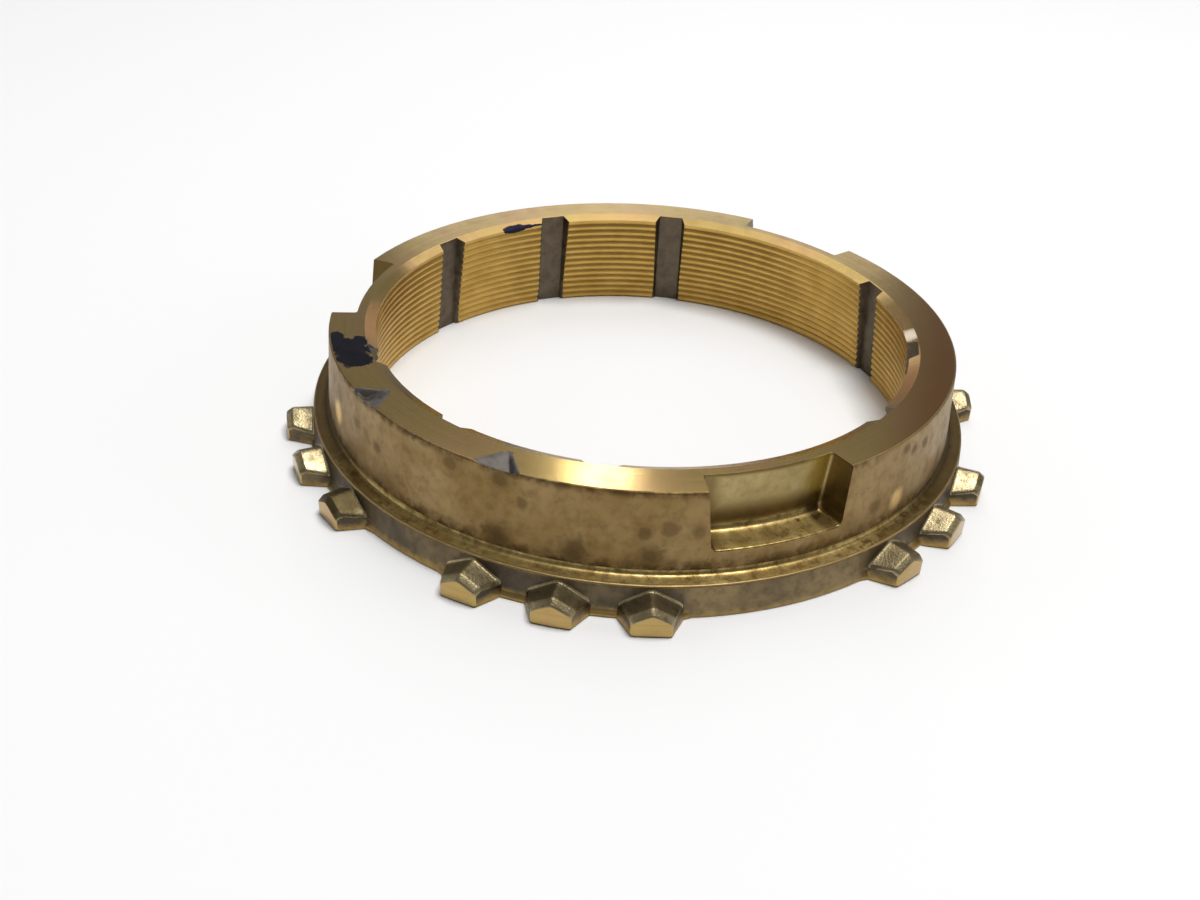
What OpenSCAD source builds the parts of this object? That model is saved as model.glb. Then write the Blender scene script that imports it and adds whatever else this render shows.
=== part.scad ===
// Synchronizer ring: one forged and machined brass ring with a threaded friction cone,
// groups of dog teeth round the rim and three key slots in the body.
// Millimetres. +Z runs up the ring's axis, the toothed end rests on Z = 0,
// and the side with the two identification notches faces -Y.

/* [Body] */
// Radius of the outer wall at the top face
body_radius = 32; // [31.5:0.1:33]
// Height from the toothed end to the slotted end
ring_height = 11.4; // [11:0.1:13]
// Draft of the forged outer wall, in degrees
wall_draft = 4; // [1:0.5:5]
// Fillet where the outer wall meets the rim
foot_fillet = 0.5; // [0.3:0.1:0.7]
// Rounding of the outer edge of the top face
top_edge = 0.25; // [0.15:0.05:0.4]

/* [Toothed rim] */
// How far the rim's upper edge stands out from the body's top radius
rim_step = 2.1; // [1.9:0.1:3]
// Height of the rim
rim_height = 3.3; // [3.2:0.1:4]
// Draft of the rim's outer wall, in degrees
rim_draft = 5; // [0:0.5:6]
// Rounding of the rim's upper and lower edges
rim_edge = 0.25; // [0.1:0.05:0.3]

/* [Dog teeth] */
// Tooth places in a full turn; some of them stay empty
tooth_places = 27; // [24:3:33]
// Teeth in each group
group_size = 3; // [1:1:3]
// Empty arc in front of each key slot, in tooth places
slot_gap = 3; // [2:1:3]
// How far the teeth stand out from the rim's upper edge
tooth_length = 2.8; // [2:0.1:4]
// Width of a tooth at its tip
tip_width = 3.5; // [2.5:0.1:4]
// Width of a tooth where it leaves the rim
root_width = 5.6; // [4.5:0.1:6]
// Height of the ridge along the middle of a tooth
ridge_height = 2.95; // [2.4:0.05:2.95]
// Slope of the two roof faces, in degrees
roof_angle = 30; // [20:1:35]
// Length of the bevel between the roof and the turned tip
tip_bevel = 0.6; // [0.3:0.1:1]
// Slope of that bevel, in degrees
bevel_angle = 35; // [28:1:50]
// How far the trimmed web between the teeth stands out from the rim's foot
web_step = 0.25; // [0.15:0.05:0.5]
// Height of the web
web_height = 0.35; // [0.3:0.05:0.6]

/* [Friction cone] */
// Thickness of the body between the outer wall and the small end of the cone
wall_width = 4.6; // [4.3:0.1:5.5]
// Half angle of the cone, in degrees
cone_angle = 7; // [5:0.5:8]
// Radial width of the chamfer round the top of the bore
chamfer_width = 1.05; // [0.6:0.05:1.3]
// Slope of that chamfer below the top face, in degrees
chamfer_slope = 24; // [15:1:40]
// Chamfer round the bottom of the bore
bottom_chamfer = 0.2; // [0.1:0.05:0.3]

/* [Thread of the cone] */
// Distance from one groove of the thread to the next
thread_pitch = 0.8; // [0.7:0.05:1.2]
// Depth of the thread
thread_depth = 0.3; // [0.2:0.05:0.5]
// Width of a thread groove at the crests
thread_mouth = 0.4; // [0.3:0.05:0.6]
// Distance of the first groove below the top face
thread_start = 1.05; // [1:0.05:2]

/* [Oil grooves] */
// Grooves and slots together in a full turn
groove_places = 12; // [9:3:15]
// Depth of a groove at the small end of the cone
groove_depth = 0.9; // [0.6:0.05:1]
// Width of a groove's floor
groove_floor = 2.2; // [1.5:0.1:3]
// Slope of a groove's sides, in degrees
groove_side = 22; // [10:1:35]
// Draft of a groove's floor, in degrees
groove_draft = 4.5; // [3:0.5:6]

/* [Key slots] */
// Angle that a slot covers at the top face, in degrees
slot_angle = 24.6; // [20:0.2:30]
// Depth of a slot into the outer wall, at the top face
slot_depth = 2.6; // [1.5:0.1:2.8]
// Height of a slot's floor above the toothed end
slot_floor = 5.6; // [4.8:0.1:7]
// Draft of a slot's end walls, in degrees
slot_draft = 6; // [0:0.5:8]
// Rounding of a slot's inner corners
slot_corner = 1.5; // [0.8:0.1:1.8]
// Fillet along the foot of a slot's back wall
slot_fillet = 0.7; // [0.3:0.1:1]

/* [Identification notches] */
// Angle of each notch from the front, in degrees
notch_place = 15.1; // [10:0.1:25]
// Angle that a notch covers at the outer wall, in degrees
notch_angle = 8; // [5:0.5:12]
// Depth of a notch into the top face from the outer wall
notch_reach = 2.5; // [1.5:0.1:3]
// Slope of a notch's long face, in degrees
notch_slope = 25; // [20:1:35]
// Slope of a notch's steep end, in degrees
notch_end = 65; // [50:1:75]
// Slope of a notch's outer lip, in degrees
notch_lip = 50; // [40:1:65]

/* [Hidden] */
$fn = 96;
far = 60;
slots = 3;
slot_turn = 90;

rim_radius = body_radius + rim_step;
tip_radius = rim_radius + tooth_length;
slot_radius = body_radius - slot_depth;
cone_radius = body_radius - wall_width;
tooth_pitch = 360 / tooth_places;
chamfer_drop = chamfer_width * tan(chamfer_slope);
cone_top = ring_height - chamfer_drop;
thread_end = bottom_chamfer + thread_mouth / 2;
last_thread = floor((ring_height - thread_start - thread_end) / thread_pitch + 0.001);

// Centre of the foot fillet, tangent to the ledge and to the drafted wall
foot_z = rim_height + foot_fillet;
foot_x = wall_x(foot_z) + foot_fillet / cos(wall_draft);

function wall_x(z) = body_radius + (ring_height - z) * tan(wall_draft);
function rim_x(z) = rim_radius + (rim_height - z) * tan(rim_draft);
function cone_x(z) = cone_radius + (cone_top - z) * tan(cone_angle);

// What a rounded upper right corner loses, drawn about the centre of its arc;
// the wall below the corner leans out by an angle
module corner_waste(r, lean) {
    out = r + 1;
    difference() {
        polygon([
            [0, 0],
            [out * cos(lean), out * sin(lean)],
            [out, out],
            [0, out]
        ]);
        circle(r);
    }
}

// Half section of the ring, without its thread
module blank_section() {
    polygon([
        [cone_x(0) + bottom_chamfer, 0],
        [rim_x(0), 0],
        [rim_radius, rim_height],
        [wall_x(rim_height), rim_height],
        [body_radius, ring_height],
        [cone_radius + chamfer_width, ring_height],
        [cone_radius, cone_top],
        [cone_x(bottom_chamfer), bottom_chamfer]
    ]);
    difference() {
        polygon([
            [wall_x(rim_height), rim_height],
            [foot_x, rim_height],
            [foot_x, foot_z],
            [foot_x - foot_fillet * cos(wall_draft), foot_z - foot_fillet * sin(wall_draft)]
        ]);
        translate([foot_x, foot_z])
            circle(foot_fillet);
    }
}

// One V groove of the thread, cut from inside the cone
module thread_cutter(z) {
    over = 0.5;
    half = thread_mouth / 2 * (thread_depth + over) / thread_depth;
    polygon([
        [cone_x(z) + thread_depth, z],
        [cone_x(z) - over, z + half],
        [cone_x(z) - over, z - half]
    ]);
}

// Ring turned from its section: body, rim, cone and thread
module ring_body() {
    rotate_extrude()
        difference() {
            blank_section();
            translate([rim_x(rim_height - rim_edge) - rim_edge / cos(rim_draft), rim_height - rim_edge])
                corner_waste(rim_edge, rim_draft);
            translate([rim_x(rim_edge) - rim_edge / cos(rim_draft), rim_edge])
                mirror([0, 1])
                    corner_waste(rim_edge, -rim_draft);
            translate([wall_x(ring_height - top_edge) - top_edge / cos(wall_draft), ring_height - top_edge])
                corner_waste(top_edge, wall_draft);
            for (i = [0 : last_thread])
                thread_cutter(ring_height - thread_start - i * thread_pitch);
        }
}

// Prism with a ridge along +X and two roof faces, its ridge on the X axis
module gable(slope) {
    rotate([90, 0, 90])
        translate([0, 0, -far])
            linear_extrude(2 * far)
                polygon([
                    [0, 0],
                    [-far, -far * tan(slope)],
                    [far, -far * tan(slope)]
                ]);
}

// One dog tooth on +X: flared flanks, a roof, a bevelled end and a turned tip
module tooth() {
    flare = (root_width - tip_width) / (2 * tooth_length);
    inner = rim_radius - 1;
    intersection() {
        linear_extrude(ridge_height)
            polygon([
                [inner, -root_width / 2 - flare],
                [tip_radius + 1, -tip_width / 2 + flare],
                [tip_radius + 1, tip_width / 2 - flare],
                [inner, root_width / 2 + flare]
            ]);
        translate([0, 0, ridge_height])
            gable(roof_angle);
        translate([tip_radius - tip_bevel, 0, ridge_height])
            rotate([0, bevel_angle, 0])
                gable(atan(tan(roof_angle) * cos(bevel_angle)));
        translate([0, 0, -1])
            cylinder(r = tip_radius, h = ring_height);
    }
}

// Web of one group on +X: a low lip that joins the roots of its teeth
module tooth_web() {
    half = (group_size - 1) / 2 * tooth_pitch + atan(root_width / 2 / rim_radius) + 0.6;
    reach = 2 * rim_radius;
    intersection() {
        rotate_extrude()
            polygon([
                [rim_radius - 1, 0],
                [rim_x(0) + web_step, 0],
                [rim_x(0) + web_step, web_height],
                [rim_x(0) - 0.2, web_height + web_step + 0.2],
                [rim_radius - 1, web_height + web_step + 0.2]
            ]);
        linear_extrude(rim_height)
            polygon([
                [0, 0],
                [reach, -reach * tan(half)],
                [reach, reach * tan(half)]
            ]);
    }
}

// Groups of teeth on both sides of every key slot
module dog_teeth() {
    for (s = [0 : slots - 1], side = [-1, 1])
        rotate(slot_turn + s * 360 / slots) {
            rotate(side * (slot_gap / 2 + (group_size - 1) / 2) * tooth_pitch)
                tooth_web();
            for (i = [0 : group_size - 1])
                rotate(side * (slot_gap / 2 + i) * tooth_pitch)
                    tooth();
        }
}

// Plan of one end of a slot: its end wall on the X axis, the inner corner rounded
module slot_end_plan() {
    bite = 0.15;
    corner_x = sqrt(pow(slot_radius + slot_corner - bite, 2) - pow(slot_corner, 2));
    translate([slot_radius - 6, -8])
        square([20, 8 - slot_corner]);
    translate([corner_x, -8])
        square([14, 8]);
    translate([corner_x, -slot_corner])
        circle(slot_corner);
}

// One end of a slot, leaning in towards its floor
module slot_end() {
    rotate(slot_angle / 2)
        translate([0, 0, ring_height])
            rotate([-slot_draft, 0, 0])
                translate([0, 0, -ring_height])
                    linear_extrude(2 * ring_height)
                        slot_end_plan();
}

// Key slots: open at the top and outwards, with a concentric back wall
module key_slots() {
    intersection() {
        rotate_extrude()
            difference() {
                translate([slot_radius, slot_floor])
                    square([10, ring_height]);
                translate([slot_radius + slot_fillet, slot_floor + slot_fillet])
                    rotate(180)
                        corner_waste(slot_fillet, 0);
            }
        for (s = [0 : slots - 1])
            rotate(slot_turn + s * 360 / slots) {
                slot_end();
                mirror([0, 1, 0])
                    slot_end();
            }
    }
}

// One oil groove on +X, its floor leaning outwards to the toothed end
module oil_groove() {
    inwards = 4;
    half = groove_floor / 2;
    spread = inwards * tan(groove_side);
    translate([cone_radius + groove_depth, 0, ring_height])
        rotate([0, -groove_draft, 0])
            translate([0, 0, -ring_height - 2])
                linear_extrude(ring_height + 4)
                    polygon([
                        [0, -half],
                        [0, half],
                        [-inwards, half + spread],
                        [-inwards, -half - spread]
                    ]);
}

// Oil grooves at every place that has no key slot
module oil_grooves() {
    for (i = [0 : groove_places - 1])
        if (i % (groove_places / slots) != 0)
            rotate(slot_turn + i * 360 / groove_places)
                oil_groove();
}

// Space above a plane that falls away to the left of the line from p to q
module above(p, q, slope) {
    translate([p[0], p[1], ring_height])
        rotate(atan2(q[1] - p[1], q[0] - p[0]))
            rotate([-slope, 0, 0])
                translate([-20, -20, 0])
                    cube([40, 40, 20]);
}

// One notch on +X: a three-sided pit at the outer edge of the top face
module id_notch() {
    outer = body_radius + 0.15;
    low = [outer * cos(notch_angle / 2), -outer * sin(notch_angle / 2)];
    high = [outer * cos(notch_angle / 2), outer * sin(notch_angle / 2)];
    apex = [body_radius - notch_reach, 0];
    intersection() {
        above(apex, low, notch_slope);
        above(high, apex, notch_end);
        above(low, high, notch_lip);
    }
}

// The two notches, one the mirror image of the other
module id_notches() {
    for (side = [0, 1])
        mirror([side, 0, 0])
            rotate(notch_place - 90)
                id_notch();
}

// The whole ring
module synchronizer_ring() {
    color("#b5904d")
        difference() {
            union() {
                ring_body();
                dog_teeth();
            }
            key_slots();
            oil_grooves();
            id_notches();
        }
}

synchronizer_ring();
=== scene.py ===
# %% [markdown]
# # A brass synchronizer ring
# The ring is one piece: a forged brass blank whose top face, bore and tooth tips were turned
# afterwards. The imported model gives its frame, so every size below is in millimetres in that
# frame, with the axis on Z, and becomes metres only when a mesh is made.

import bpy
import numpy as np
from mathutils import Matrix, Vector


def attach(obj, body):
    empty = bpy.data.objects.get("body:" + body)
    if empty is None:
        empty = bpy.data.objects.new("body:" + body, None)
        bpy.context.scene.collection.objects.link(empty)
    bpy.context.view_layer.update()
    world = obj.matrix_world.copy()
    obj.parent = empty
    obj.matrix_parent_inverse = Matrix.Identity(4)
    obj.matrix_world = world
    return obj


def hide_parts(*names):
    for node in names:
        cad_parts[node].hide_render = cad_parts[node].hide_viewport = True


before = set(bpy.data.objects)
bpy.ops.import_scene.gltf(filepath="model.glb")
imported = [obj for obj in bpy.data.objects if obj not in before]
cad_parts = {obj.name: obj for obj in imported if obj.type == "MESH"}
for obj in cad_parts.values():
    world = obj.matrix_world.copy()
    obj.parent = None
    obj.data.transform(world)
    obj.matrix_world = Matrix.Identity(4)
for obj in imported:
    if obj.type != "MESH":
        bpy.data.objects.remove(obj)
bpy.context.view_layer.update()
MM = 0.001

# %% [markdown]
# ## Where things sit round the ring
# Everything on the ring repeats at fixed angles: three key slots, eighteen dog teeth in groups of
# three, nine oil grooves and two identification notches. The ring could be cut with booleans, but
# a surface made of columns, one closed section at each angle, keeps every edge under control and
# lets each edge have the small rounding that forging leaves. So the columns are placed first,
# close together where a feature starts or ends.

# %% Angles of the features, in degrees
SLOTS = np.array([90.0, 210.0, 330.0])
SLOT_END, END_STEP = 12.3, 0.02
GROOVE_TURN = 0.5
GROOVES = np.array([turn for turn in range(0, 360, 30) if (turn - 90) % 120]) + GROOVE_TURN
GROOVE_MARKS = (2.8, 3.6, 4.8)
TEETH = (SLOTS[:, None] + np.array([-140 / 3, -100 / 3, -20, 20, 100 / 3, 140 / 3])).ravel() % 360
GROUPS = (SLOTS[:, None] + np.array([-100 / 3, 100 / 3])).ravel() % 360
NOTCHES = np.array([254.9, 285.1])
NOTCH_HALF = 4.0
print(len(SLOTS), "slots,", len(GROOVES), "oil grooves,", len(TEETH), "teeth,", len(NOTCHES), "notches")

# %% Main sizes, in millimetres
HEIGHT = 11.4
WALL_RADIUS, RIM_RADIUS, TIP_RADIUS = 32.0, 34.1, 36.9
RIM_HEIGHT = 3.3
ROOT_HALF, TIP_HALF = 2.8, 1.75
TOOTH_HALF = np.degrees(np.arcsin(ROOT_HALF / RIM_RADIUS))
print("a tooth spans", round(2 * TOOTH_HALF, 2), "degrees at its root")


# %% Columns of the surface
def both_sides(steps):
    """The steps and their mirror images, as one sorted row."""
    steps = np.asarray(steps, float)
    return np.unique(np.concatenate([-steps, steps]))


def from_nearest(angle, centres):
    """Angle measured from the nearest centre, between -180 and 180 degrees."""
    off = (angle[:, None] - centres + 180) % 360 - 180
    return np.take_along_axis(off, np.abs(off).argmin(1)[:, None], 1)[:, 0]


WIDEST_GAP = 2.2
slot_steps = both_sides(np.concatenate([
    SLOT_END + np.array([END_STEP, 0.09, 0.18, 0.28, 0.4]),
    SLOT_END - np.array([END_STEP, 0.14, 0.32, 0.55, 0.85, 1.25, 1.7, 2.2, 2.8]),
    [0, 3, 6, 8],
]))
tooth_shares = np.array([0, 0.05, 0.12, 0.3, 0.6, 0.82, 0.91, 0.955, 0.985, 1, 1.012])
tooth_steps = both_sides(TOOTH_HALF * tooth_shares)
groove_steps = both_sides([0, 1.4, 2.5, 2.8, 2.96, 3.12, 3.28, 3.44, 3.6, 3.64])
notch_shares = [-1.06, -1, -0.94, -0.7, -0.35, 0, 0.35, 0.55, 0.64, 0.73, 0.86, 0.95, 1, 1.06]
notch_steps = NOTCH_HALF * np.array([[-1], [1]]) * np.array(notch_shares)

turns = np.concatenate([
    (SLOTS[:, None] + slot_steps).ravel(),
    (TEETH[:, None] + tooth_steps).ravel(),
    (GROOVES[:, None] + groove_steps).ravel(),
    (NOTCHES[:, None] + notch_steps).ravel(),
]) % 360
turns = np.unique(np.round(turns, 3))
gap = np.diff(np.append(turns, turns[0] + 360))
parts = np.ceil(gap / WIDEST_GAP).astype(int)
within = np.concatenate([np.arange(n) / n for n in parts])
turns = np.repeat(turns, parts) + within * np.repeat(gap, parts)
columns = len(turns)
print(columns, "columns, widest gap", round(np.diff(turns).max(), 2), "degrees")

# %% [markdown]
# ## The bore
# Inside, the ring is a cone with a turned thread of fine V grooves that wipes the oil film away,
# and nine oil grooves run through it lengthwise. A thread could be a displaced texture, but its
# serrated ends at the oil grooves show, so it is real: the radius of the surface is the larger
# one of the thread's radius and the oil groove's radius at that angle and height.

# %% Thread profile, from the toothed end up
CONE_RADIUS, CONE_SLOPE = 27.4, np.tan(np.radians(7))
CHAMFER_RADIUS, CHAMFER_FALL = 28.45, np.tan(np.radians(24))
CHAMFER_ROWS = 3
CONE_TOP = HEIGHT - (CHAMFER_RADIUS - CONE_RADIUS) * CHAMFER_FALL
THREAD_START, THREAD_PITCH, THREAD_COUNT = 0.75, 0.8, 13
THREAD_HALF, THREAD_DEPTH = 0.26, 0.2
MOUTH_CHAMFER = 0.2


def cone_radius(z):
    """Radius of the cone: it opens downwards by the tangent of seven degrees."""
    return CONE_RADIUS + (CONE_TOP - z) * CONE_SLOPE


thread_middle = THREAD_START + THREAD_PITCH * np.arange(THREAD_COUNT)
thread_z = (thread_middle[:, None] + THREAD_HALF * np.array([-1, 0, 1])).ravel()
thread_r = cone_radius(thread_z) + np.tile([0, THREAD_DEPTH, 0], THREAD_COUNT)
mouth_z = np.array([0, MOUTH_CHAMFER])
mouth_r = cone_radius(mouth_z) + np.array([MOUTH_CHAMFER, 0])
bore_z = np.concatenate([mouth_z, thread_z, np.full(CHAMFER_ROWS, CONE_TOP)])
bore_r = np.concatenate([mouth_r, thread_r, np.full(CHAMFER_ROWS, CONE_RADIUS)])
print(THREAD_COUNT, "thread grooves,", len(bore_z), "points up the bore")

# %% Oil grooves cut through it
GROOVE_HALF, GROOVE_SIDE = 1.38, np.radians(22)
GROOVE_FLOOR, GROOVE_LEAN = 28.3, np.tan(np.radians(4.5))


def groove_floor(z):
    """Distance of a groove's flat floor from the axis; it leans out downwards by 4.5 degrees."""
    return GROOVE_FLOOR + (HEIGHT - z) * GROOVE_LEAN


def groove_radius(off, z):
    """Radius of a groove's wall at an angle from its middle: the nearer one of the flat floor and
    the sloping side, each as the distance along a ray from the axis."""
    off = np.radians(np.abs(off))
    floor = groove_floor(z) / np.cos(off)
    slope = np.tan(GROOVE_SIDE)
    side = (GROOVE_HALF + groove_floor(z) * slope) / (np.sin(off) + np.cos(off) * slope)
    return np.minimum(floor, side)


def groove_turn(off, z):
    """Moves the columns so that one follows the edge of the floor and one the mouth of the groove:
    the angle is stretched piece by piece between these marks."""
    a, sign = np.abs(off), np.sign(off)
    one, two, end = GROOVE_MARKS
    floor = np.degrees(np.arctan2(GROOVE_HALF, groove_floor(z)))
    reach = GROOVE_HALF + groove_floor(z) * np.tan(GROOVE_SIDE)
    reach = reach / np.minimum(cone_radius(z), CHAMFER_RADIUS)
    mouth = np.degrees(np.arcsin(reach * np.cos(GROOVE_SIDE)) - GROOVE_SIDE)
    inner = a / one * floor
    flank = floor + (a - one) / (two - one) * (mouth - floor)
    outer = mouth + (a - two) / (end - two) * (end - mouth)
    return sign * np.where(a <= one, inner, np.where(a <= two, flank, np.where(a <= end, outer, a)))


# %% The surface of the bore
off_groove = from_nearest(turns, GROOVES)
in_groove = np.abs(off_groove) < GROOVE_MARKS[1] + 0.01
z = bore_z[:, None] + 0 * turns
bore_off = groove_turn(off_groove[None] + 0 * z, z)
cut = np.where(in_groove, groove_radius(bore_off, z), 0)
bore_rr = np.maximum(bore_r[:, None], cut)
up = np.array([[0], [0.5], [0.9]])
bore_rr[-CHAMFER_ROWS:] = (1 - up) * bore_rr[-CHAMFER_ROWS] + up * CHAMFER_RADIUS
z[-CHAMFER_ROWS:] = HEIGHT - (CHAMFER_RADIUS - bore_rr[-CHAMFER_ROWS:]) * CHAMFER_FALL
bore_turn = turns + (bore_off - off_groove)
bore = np.stack([bore_rr, z], -1)
print("bore surface", bore.shape, "deepest point", round(bore_rr.max(), 2), "mm from the axis")

# %% [markdown]
# ## The outside
# From the chamfer outwards a section is a polygon: top face, wall, rim, tooth, underside. In a
# slot the wall's corner moves in and down, at a tooth the rim's corner moves out, so one polygon
# with moving corners makes them all, and the end walls come by themselves between two columns.
# A Bevel modifier could round the edges, but here each corner has its own radius, so the walk
# along the polygon rounds it.

# %% Walking round a polygon with rounded corners
ROOM = 0.96


def walk(corners, trims, arcs, runs):
    """Points along a polygon, for all columns at once. Each corner is left a trim length before it
    and joined again as far behind it by the curve (1-t)^2 A + 2t(1-t) C + t^2 B; the runs between
    take points at the given shares of their length. A row is labelled k - 0.5 on the rounding of
    corner k and k on the run behind it."""
    step = np.diff(corners, axis=1)
    length = np.maximum(np.linalg.norm(step, axis=2), 1e-9)
    unit = step / length[..., None]
    share = np.minimum(1, ROOM * length / np.maximum(trims[:, :-1] + trims[:, 1:], 1e-9))
    fit = np.ones_like(trims)
    fit[:, :-1] = share
    fit[:, 1:] = np.minimum(fit[:, 1:], share)
    trims = (trims * fit)[..., None]
    first, last = corners.copy(), corners.copy()
    first[:, 1:] -= unit * trims[:, 1:]
    last[:, :-1] += unit * trims[:, :-1]
    rows, labels = [], []
    for k, (arc, run) in enumerate(zip(arcs, runs)):
        t = np.linspace(0, 1, arc)[:, None, None]
        rows.append((1 - t) ** 2 * first[:, k] + 2 * t * (1 - t) * corners[:, k] + t ** 2 * last[:, k])
        labels += [k - 0.5] * arc
        if len(run):
            t = np.asarray(run)[:, None, None]
            rows.append((1 - t) * last[:, k] + t * first[:, k + 1])
            labels += [k] * len(run)
    return np.concatenate(rows), np.array(labels)


def rounding(distance, radius):
    """How far a rounded edge has fallen at a distance from it: radius minus the height of a circle."""
    t = np.clip(radius - distance, 0, radius)
    return radius - np.sqrt(radius ** 2 - t ** 2)


# %% Walls of the body and of the rim
WALL_SLOPE, RIM_SLOPE = np.tan(np.radians([4, 5]))


def wall_radius(z):
    """Radius of the forged outer wall, which leans out downwards by four degrees."""
    return WALL_RADIUS + (HEIGHT - z) * WALL_SLOPE


def rim_radius(z):
    """Radius of the rim's outer wall, which leans out downwards by five degrees."""
    return RIM_RADIUS + (RIM_HEIGHT - z) * RIM_SLOPE


print("the wall is", round(wall_radius(RIM_HEIGHT), 2), "mm from the axis at its foot")

# %% Corners of a plain section, and of one with the web between the teeth
(CHAMFER_EDGE, TOP_EDGE, SLOT_FOOT, SLOT_LIP, WALL_FOOT, RIM_EDGE,
 ROOF_FOOT, BEVEL, TIP_TOP, TIP_FOOT, UNDERSIDE) = range(11)
WALL_MARK, SLOT_FLOOR = 8.6, 5.6
ROOF_MARK, WEB_TOP, WEB_LIP = 1.33, 0.62, 0.35
WEB_END, WEB_FADE = 18.65, 0.6
WEB_REACH, WEB_BASE = 0.28, 0.25
UNDERSIDE_RADIUS = 33.6
PLAIN_TRIMS = [0, 0.18, 0.3, 0.25, 0.5, 0.2, 0.22, 0.12, 0.14, 0.2, 0]
web = np.clip((WEB_END - np.abs(from_nearest(turns, GROUPS))) / WEB_FADE, 0, 1)
trims = np.tile(PLAIN_TRIMS, (columns, 1))
corners = np.zeros((columns, len(PLAIN_TRIMS), 2))
corners[:, CHAMFER_EDGE] = CHAMFER_RADIUS, HEIGHT
corners[:, TOP_EDGE] = WALL_RADIUS, HEIGHT
corners[:, SLOT_FOOT] = wall_radius(WALL_MARK), WALL_MARK
corners[:, SLOT_LIP] = wall_radius(SLOT_FLOOR), SLOT_FLOOR
corners[:, WALL_FOOT] = wall_radius(RIM_HEIGHT), RIM_HEIGHT
corners[:, RIM_EDGE] = RIM_RADIUS, RIM_HEIGHT
corners[:, ROOF_FOOT] = rim_radius(ROOF_MARK), ROOF_MARK
corners[:, BEVEL] = rim_radius(WEB_TOP), WEB_TOP
corners[:, TIP_TOP] = np.stack([rim_radius(WEB_LIP) + WEB_REACH * web, WEB_LIP + 0 * web], -1)
corners[:, TIP_FOOT] = np.stack([rim_radius(0) + WEB_BASE * web, 0 * web], -1)
corners[:, UNDERSIDE] = UNDERSIDE_RADIUS, 0
print("web on", int((web > 0).sum()), "columns")

# %% Key slots: the wall's corner moves in to the back wall and down to the floor
SLOT_BACK, SLOT_MIDDLE = 29.4, 30.3
BACK_CORNER, FLOOR_CORNER = 0.32, 0.45
off_slot = from_nearest(turns, SLOTS)
in_slot = np.abs(off_slot) < SLOT_END
inside = np.radians(np.maximum(SLOT_END - END_STEP - np.abs(off_slot), 0)) * SLOT_MIDDLE
back = SLOT_BACK + rounding(inside, BACK_CORNER)
floor = SLOT_FLOOR + rounding(inside, FLOOR_CORNER)
corners[in_slot, TOP_EDGE] = np.stack([back, HEIGHT + 0 * back], -1)[in_slot]
corners[in_slot, SLOT_FOOT] = np.stack([back, floor], -1)[in_slot]
corners[in_slot, SLOT_LIP] = np.stack([wall_radius(floor), floor], -1)[in_slot]
trims[in_slot, TOP_EDGE] = 0.04
trims[in_slot, SLOT_FOOT] = 0.75
trims[in_slot, SLOT_LIP] = 0.16
print(int(in_slot.sum()), "columns lie in the slots")

# %% Dog teeth: the rim's corners move out to the roof, the bevel and the tip
RIDGE, RIDGE_BLUNT, ROOF_SLOPE = 2.95, 0.3, np.tan(np.radians(30))
TOOTH_EDGE, MEAN_HALF = 0.24, 2.2
BEVEL_RADIUS, BEVEL_FALL = 36.3, 0.42
off_tooth = from_nearest(turns, TEETH)
across = off_tooth / TOOTH_HALF
in_tooth = np.abs(across) < 1.001


def tooth_half(radius):
    """Half the width of a tooth at a radius: a straight flare from root to tip."""
    share = (np.clip(radius, RIM_RADIUS, None) - RIM_RADIUS) / (TIP_RADIUS - RIM_RADIUS)
    return ROOT_HALF + (TIP_HALF - ROOT_HALF) * share


def roof(radius):
    """Height of the roof: the ridge less tan 30 of the distance from the middle, with a blunt ridge."""
    y = across * tooth_half(radius)
    return RIDGE - ROOF_SLOPE * np.sqrt(y ** 2 + RIDGE_BLUNT ** 2)


blunt = rounding((1 - np.abs(across)) * MEAN_HALF, TOOTH_EDGE)
roof_foot = roof(RIM_RADIUS) - blunt
tip = TIP_RADIUS - 0.6 * blunt
tooth = np.stack([
    np.stack([rim_radius(roof_foot), roof_foot], -1),
    np.stack([BEVEL_RADIUS - 0.3 * blunt, roof(BEVEL_RADIUS) - blunt], -1),
    np.stack([tip, roof(TIP_RADIUS) - BEVEL_FALL - blunt], -1),
    np.stack([tip, 0.5 * blunt], -1),
], 1)
corners[in_tooth, ROOF_FOOT:UNDERSIDE] = tooth[in_tooth]
print(int(in_tooth.sum()), "columns lie in the teeth")

# %% The walk itself
fine_top = [0.02, 0.1, 0.22, 0.32, 0.42, 0.51, 0.6, 0.68, 0.75, 0.81, 0.86, 0.9, 0.94, 0.98]
thirds, half = [0.33, 0.67], [0.5]
arcs = [1, 5, 5, 4, 5, 5, 4, 4, 4, 4, 1]
runs = [fine_top, thirds, thirds, half, half, [], thirds, [], thirds, thirds, []]
skin, label = walk(corners, trims, arcs, runs)
print("outer surface", skin.shape)

# %% [markdown]
# ## Turning the columns
# A column isn't always a flat slice: the ends of a slot lean in towards its floor, the flanks of a
# tooth run together towards its tip, and the sides of a notch meet in a point. So each point of a
# column is turned a little by its own height or radius.

# %% Lean of the slot ends and flare of the teeth
END_SLOPE, LEAN_FLOOR, LEAN_FOOT = np.tan(np.radians(6)), 5.5, 4.0
LEAN_END = 16.0


def slot_lean(off, radius, z):
    """Turns by the draft of six degrees below the top face; it fades out below the floor and within a
    few degrees outside the slot."""
    below = (HEIGHT - LEAN_FLOOR) * np.clip((z - LEAN_FOOT) / (LEAN_FLOOR - LEAN_FOOT), 0, 1)
    lean = np.degrees(np.where(z > LEAN_FLOOR, HEIGHT - z, below) * END_SLOPE / radius)
    near = np.clip((LEAN_END - np.abs(off)) / (LEAN_END - SLOT_END), 0, 1)
    return -lean * np.where(np.abs(off) < SLOT_END, off / SLOT_END, np.sign(off) * near)


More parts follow.
